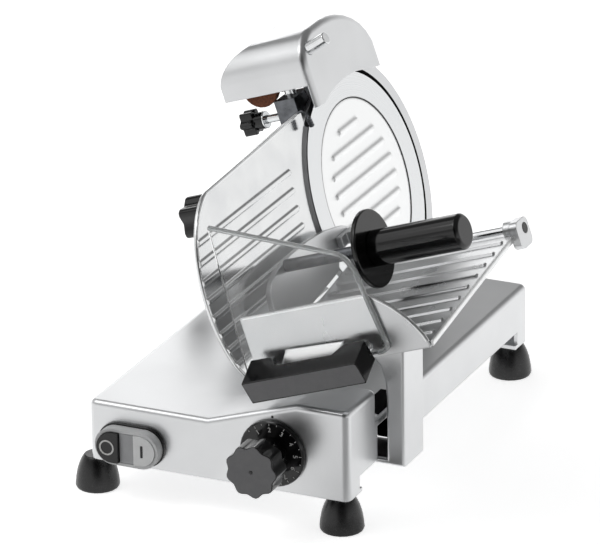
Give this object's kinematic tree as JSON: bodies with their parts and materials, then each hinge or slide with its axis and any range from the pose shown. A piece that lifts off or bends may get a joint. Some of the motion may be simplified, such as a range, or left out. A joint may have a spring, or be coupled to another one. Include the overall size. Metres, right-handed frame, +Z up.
{
  "type": "food slicer",
  "caption": "Electric gravity-feed food slicer: tilted round blade, ribbed gauge plate, sliding tray with clear guard and pusher, thickness knob and lift-up sharpener.",
  "frame": {"origin": "on the worktop, under the middle of the whole machine's bounding box", "axes": "+Z up; -Y faces the operator and the front panel; +X is the operator's right, where the food tray is"},
  "size_m": [0.4058, 0.4952, 0.3766],
  "materials": {
    "satin_aluminium": "satin anodised casting",
    "polished_aluminium": "polished and anodised",
    "blade_steel": "ground and polished",
    "chrome": "chromed",
    "dark_steel": "plain steel",
    "black_plastic": "moulded",
    "grey_plastic": "moulded",
    "pale_plastic": "moulded",
    "rubber": "moulded",
    "clear_plastic": "clear acrylic sheet",
    "brown_stone": "bonded grinding grit",
    "motor_steel": "painted motor can"
  },
  "bodies": {
    "base": {"base_shell": "satin_aluminium", "bottom_cover": "dark_steel", "foot_1": "rubber", "foot_2": "rubber", "foot_3": "rubber", "foot_4": "rubber", "switch_gasket": "rubber", "switch_bezel": "grey_plastic", "switch_window": "grey_plastic", "switch_body": "black_plastic", "motor_housing": "satin_aluminium", "motor_plate": "dark_steel", "motor": "motor_steel", "drive_belt": "rubber", "hub_bearing": "chrome", "blade_cover": "polished_aluminium", "slice_deflector": "polished_aluminium", "gauge_rod": "chrome", "carriage_rod": "chrome", "sharpener_bracket": "dark_steel", "cable_gland": "black_plastic"},
    "off_button": {"off_button": "black_plastic"},
    "on_button": {"on_button": "pale_plastic"},
    "blade": {"blade": "blade_steel", "blade_hub": "dark_steel", "blade_pulley": "dark_steel"},
    "motor_rotor": {"motor_pulley": "dark_steel"},
    "cover_knob": {"cover_knob": "black_plastic", "cover_tie_rod": "chrome"},
    "thickness_knob": {"knob_spindle": "dark_steel", "thickness_dial": "black_plastic", "thickness_knob": "black_plastic"},
    "gauge": {"gauge_plate": "polished_aluminium", "gauge_support": "satin_aluminium"},
    "carriage": {"slider_block": "satin_aluminium", "carriage_arm": "satin_aluminium", "tray": "polished_aluminium", "clear_guard": "clear_plastic", "handle": "black_plastic", "handle_bolt_1": "chrome", "handle_bolt_2": "chrome", "rod_boss_right": "satin_aluminium", "rod_boss_left": "satin_aluminium", "pusher_rod": "chrome"},
    "pusher_sleeve": {"pusher_sleeve": "satin_aluminium"},
    "pusher": {"pusher_arm": "satin_aluminium", "pusher_plate": "satin_aluminium", "pusher_shaft": "dark_steel", "pusher_disc": "black_plastic", "pusher_grip": "black_plastic"},
    "sharpener": {"sharpener_hood": "satin_aluminium", "sharpener_post": "chrome", "stone_carrier": "dark_steel"},
    "stone_1": {"stone_1": "brown_stone", "stone_shaft_1": "chrome"},
    "stone_2": {"stone_2": "brown_stone", "stone_shaft_2": "chrome"},
    "hood_button": {"hood_button": "chrome"},
    "lock_knob": {"lock_knob": "black_plastic", "lock_screw": "chrome"}
  },
  "joints": [
    {"name": "blade_spin", "type": "hinge", "parent": "base", "child": "blade", "pos_m": [-0.00672, 0.12066, 0.215], "axis": [0.9461, 0, 0.3239], "continuous": true},
    {"name": "motor_spin", "type": "hinge", "parent": "base", "child": "motor_rotor", "pos_m": [-0.02777, 0.12566, 0.15917], "axis": [0.9461, 0, 0.3239], "continuous": true},
    {"name": "cover_knob_turn", "type": "hinge", "parent": "base", "child": "cover_knob", "pos_m": [-0.18553, 0.12066, 0.15378], "axis": [0.9461, 0, 0.3239], "range_deg": [-180, 180]},
    {"name": "thickness_turn", "type": "hinge", "parent": "base", "child": "thickness_knob", "pos_m": [0.03928, -0.19534, 0.071], "axis": [0, -1, 0], "range_deg": [-30.1, 240.1]},
    {"name": "gauge_slide", "type": "slide", "parent": "base", "child": "gauge", "axis": [-1, 0, 0], "range_m": [-0.0015, 0.012]},
    {"name": "carriage_slide", "type": "slide", "parent": "base", "child": "carriage", "axis": [0, 1, 0], "range_m": [0, 0.24]},
    {"name": "pusher_slide", "type": "slide", "parent": "carriage", "child": "pusher_sleeve", "axis": [0.9461, 0, 0.3239], "range_m": [0, 0.115]},
    {"name": "pusher_swing", "type": "hinge", "parent": "pusher_sleeve", "child": "pusher", "pos_m": [0.03908, 0.02266, 0.18312], "axis": [-0.9461, 0, -0.3239], "range_deg": [0, 75]},
    {"name": "off_press", "type": "slide", "parent": "base", "child": "off_button", "axis": [0, 1, 0], "range_m": [0, 0.003], "stiffness_N_per_m": 400},
    {"name": "on_press", "type": "slide", "parent": "base", "child": "on_button", "axis": [0, 1, 0], "range_m": [0, 0.003], "stiffness_N_per_m": 400},
    {"name": "sharpener_lift", "type": "slide", "parent": "base", "child": "sharpener", "axis": [-0.3239, 0, 0.9461], "range_m": [0, 0.03]},
    {"name": "hood_button_press", "type": "slide", "parent": "sharpener", "child": "hood_button", "axis": [-0.81, 0, -0.5864], "range_m": [0, 0.005], "stiffness_N_per_m": 400},
    {"name": "stone_1_spin", "type": "hinge", "parent": "sharpener", "child": "stone_1", "pos_m": [-0.09686, 0.07766, 0.31467], "axis": [0, 1, 0], "continuous": true},
    {"name": "stone_2_spin", "type": "hinge", "parent": "sharpener", "child": "stone_2", "pos_m": [-0.09686, 0.12426, 0.31467], "axis": [0, 1, 0], "continuous": true},
    {"name": "lock_turn", "type": "hinge", "parent": "base", "child": "lock_knob", "pos_m": [-0.09296, 0.08366, 0.28166], "axis": [0.9461, 0, 0.3239], "range_deg": [-180, 180]}
  ],
  "couplings": [
    {"joint": "motor_spin", "follows": "blade_spin", "ratio": 2.1667},
    {"joint": "thickness_turn", "follows": "gauge_slide", "rad_per_m": 349.07}
  ]
}
